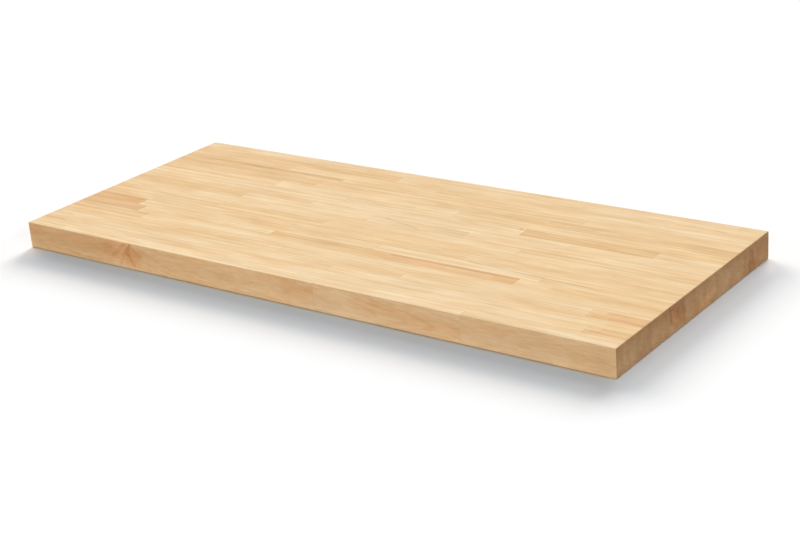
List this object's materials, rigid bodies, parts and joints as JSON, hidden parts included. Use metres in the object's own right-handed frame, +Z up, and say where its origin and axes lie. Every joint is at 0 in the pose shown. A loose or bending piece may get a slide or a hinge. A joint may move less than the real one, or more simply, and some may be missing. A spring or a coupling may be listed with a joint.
{
  "type": "butcher block countertop",
  "caption": "Flat rectangular worktop slab of solid wood staves, glued side by side and end to end with staggered butt joints.",
  "frame": {"origin": "centre of the underside, in the plane that the slab rests on", "axes": "+X along the length to the right-hand end, +Y across the depth to the back edge, +Z up out of the worktop face"},
  "size_m": [1.5, 0.635, 0.06],
  "materials": {
    "pale_wood": "satin, pale straw",
    "cream_wood": "satin, warm cream",
    "honey_wood": "satin, honey",
    "tan_wood": "satin, tan",
    "chestnut_wood": "satin, reddish brown"
  },
  "bodies": {
    "root": {"stave_01_a": "pale_wood", "stave_01_b": "cream_wood", "stave_01_c": "pale_wood", "stave_02_a": "tan_wood", "stave_02_b": "pale_wood", "stave_02_c": "cream_wood", "stave_03_a": "honey_wood", "stave_03_b": "cream_wood", "stave_03_c": "pale_wood", "stave_04_a": "tan_wood", "stave_04_b": "honey_wood", "stave_04_c": "cream_wood", "stave_05_a": "tan_wood", "stave_05_b": "honey_wood", "stave_05_c": "tan_wood", "stave_06_a": "cream_wood", "stave_06_b": "pale_wood", "stave_06_c": "cream_wood", "stave_07_a": "pale_wood", "stave_07_b": "pale_wood", "stave_07_c": "tan_wood", "stave_07_d": "cream_wood", "stave_08_a": "cream_wood", "stave_08_b": "pale_wood", "stave_08_c": "pale_wood", "stave_09_a": "tan_wood", "stave_09_b": "pale_wood", "stave_09_c": "honey_wood", "stave_09_d": "cream_wood", "stave_10_a": "pale_wood", "stave_10_b": "cream_wood", "stave_10_c": "pale_wood", "stave_11_a": "honey_wood", "stave_11_b": "tan_wood", "stave_11_c": "cream_wood", "stave_12_a": "honey_wood", "stave_12_b": "cream_wood", "stave_13_a": "chestnut_wood", "stave_13_b": "cream_wood", "stave_13_c": "pale_wood", "stave_13_d": "honey_wood", "stave_14_a": "chestnut_wood", "stave_14_b": "pale_wood", "stave_14_c": "tan_wood", "stave_14_d": "chestnut_wood", "stave_14_e": "tan_wood", "stave_15_a": "tan_wood", "stave_15_b": "pale_wood", "stave_16_a": "honey_wood", "stave_16_b": "honey_wood", "stave_16_c": "cream_wood", "stave_16_d": "chestnut_wood", "stave_17_a": "pale_wood", "stave_17_b": "pale_wood", "stave_18_a": "cream_wood", "stave_18_b": "pale_wood", "stave_18_c": "tan_wood", "stave_19_a": "pale_wood", "stave_19_b": "pale_wood", "stave_19_c": "pale_wood"}
  },
  "joints": []
}
